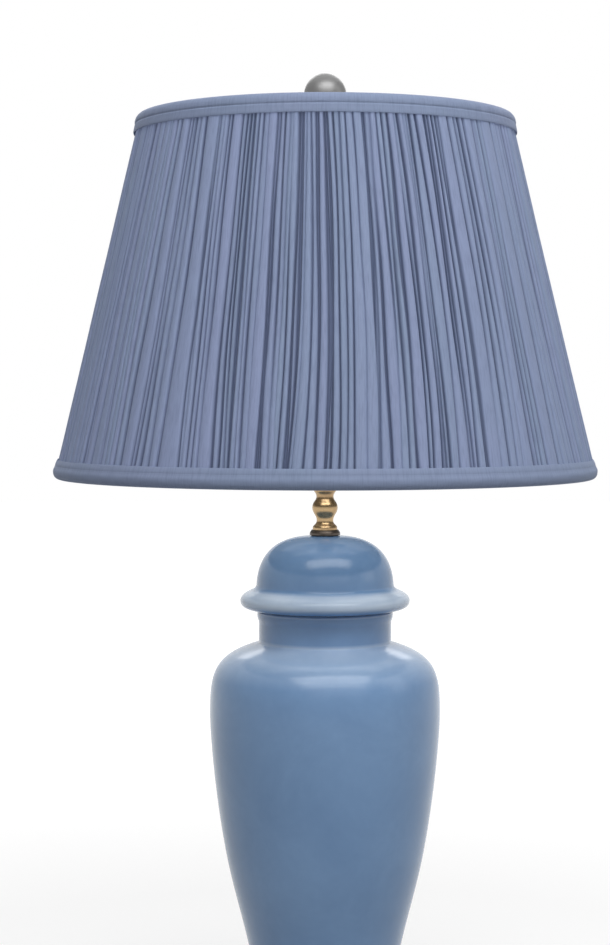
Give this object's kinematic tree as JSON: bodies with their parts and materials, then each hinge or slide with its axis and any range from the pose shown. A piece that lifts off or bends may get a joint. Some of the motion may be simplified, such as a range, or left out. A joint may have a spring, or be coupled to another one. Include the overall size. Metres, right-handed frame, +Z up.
{
  "type": "table lamp",
  "caption": "Table lamp on a glazed covered jar, with a turned brass neck, a harp and a gathered cloth empire shade under a ball finial.",
  "frame": {"origin": "centre of the felt foot at the table top", "axes": "+Z up; the switch knob faces -Y and the cord outlet faces +Y"},
  "size_m": [0.4599, 0.46, 0.8085],
  "materials": {
    "jar_glaze": "gloss glaze, soft blue with lighter and darker clouds",
    "shade_cloth": "gathered slate blue cloth, soft sheen",
    "binding_cloth": "flat self binding, slate blue",
    "lining_cloth": "smooth off-white lining",
    "bright_brass": "polished, slightly toned",
    "dark_brass": "antique, dark",
    "nickel": "brushed nickel",
    "zinc": "zinc plated",
    "frame_wire": "white enamelled wire",
    "aluminium": "spun",
    "bakelite": "moulded, near black",
    "liner_board": "insulating fibre board",
    "bushing_plastic": "moulded",
    "seal_rubber": "soft black",
    "foot_felt": "dark felt",
    "frosted_glass": "frosted inside"
  },
  "bodies": {
    "base": {"jar_body": "jar_glaze", "jar_lid": "jar_glaze", "base_felt": "foot_felt", "lid_gasket": "seal_rubber", "lamp_pipe": "zinc", "base_gasket": "seal_rubber", "base_bearing_plate": "zinc", "base_lock_washer": "zinc", "base_hex_nut": "zinc", "pipe_bushing_bottom": "bushing_plastic", "pipe_bushing_top": "bushing_plastic", "cord_grommet": "bushing_plastic", "lid_cushion_washer": "seal_rubber", "neck_seat_ring": "dark_brass", "brass_neck": "bright_brass", "harp_saddle": "nickel", "socket_cap": "bright_brass", "socket_set_screw": "zinc", "socket_shell": "bright_brass", "socket_shell_liner": "liner_board", "switch_body": "bakelite", "terminal_screw_right": "bright_brass", "terminal_screw_left": "zinc", "screw_shell": "aluminium", "centre_contact": "bright_brass"},
    "switch": {"switch_shaft": "zinc", "switch_knob": "bakelite"},
    "bulb_base": {"bulb_tip": "zinc", "bulb_insulator": "bushing_plastic", "bulb_cap": "aluminium"},
    "bulb_glass": {"bulb_globe": "frosted_glass"},
    "harp": {"harp_wire": "nickel", "harp_top_plate": "nickel", "harp_stud": "nickel"},
    "ferrule_right": {"harp_ferrule_right": "nickel"},
    "ferrule_left": {"harp_ferrule_left": "nickel"},
    "shade": {"spider_washer": "frame_wire", "spider_arm_1": "frame_wire", "spider_arm_2": "frame_wire", "spider_arm_3": "frame_wire", "shade_top_ring": "frame_wire", "shade_bottom_ring": "frame_wire", "shade_rib_1": "frame_wire", "shade_rib_2": "frame_wire", "shade_rib_3": "frame_wire", "shade_rib_4": "frame_wire", "shade_rib_5": "frame_wire", "shade_rib_6": "frame_wire", "shade_rib_7": "frame_wire", "shade_rib_8": "frame_wire", "shade_lining": "lining_cloth", "shade_cover": "shade_cloth", "shade_top_trim": "binding_cloth", "shade_bottom_trim": "binding_cloth"},
    "finial_screw": {"finial_base": "nickel"},
    "finial": {"finial_ball": "nickel"}
  },
  "joints": [
    {"name": "switch_turn", "type": "hinge", "parent": "base", "child": "switch", "pos_m": [0, -0.019, 0.4876], "axis": [0, -1, 0], "continuous": true},
    {"name": "bulb_rise", "type": "slide", "parent": "base", "child": "bulb_base", "axis": [0, 0, 1], "range_m": [0, 0.0182]},
    {"name": "bulb_turn", "type": "hinge", "parent": "bulb_base", "child": "bulb_glass", "pos_m": [0, 0, 0.499], "axis": [0, 0, 1], "range_deg": [0, 1800]},
    {"name": "harp_lift", "type": "slide", "parent": "base", "child": "harp", "axis": [0, 0, 1], "range_m": [0, 0.014]},
    {"name": "ferrule_right_lift", "type": "slide", "parent": "harp", "child": "ferrule_right", "axis": [0, 0, 1], "range_m": [0, 0.012]},
    {"name": "ferrule_left_lift", "type": "slide", "parent": "harp", "child": "ferrule_left", "axis": [0, 0, 1], "range_m": [0, 0.012]},
    {"name": "shade_swivel", "type": "hinge", "parent": "harp", "child": "shade", "pos_m": [0, 0, 0.759], "axis": [0, 0, 1], "continuous": true},
    {"name": "finial_rise", "type": "slide", "parent": "harp", "child": "finial_screw", "axis": [0, 0, 1], "range_m": [0, 0.0066]},
    {"name": "finial_turn", "type": "hinge", "parent": "finial_screw", "child": "finial", "pos_m": [0, 0, 0.7737], "axis": [0, 0, 1], "range_deg": [0, 2520]}
  ],
  "couplings": [
    {"joint": "bulb_rise", "follows": "bulb_turn", "m_per_rad": 0.0005775},
    {"joint": "finial_rise", "follows": "finial_turn", "m_per_rad": 0.00014972}
  ]
}
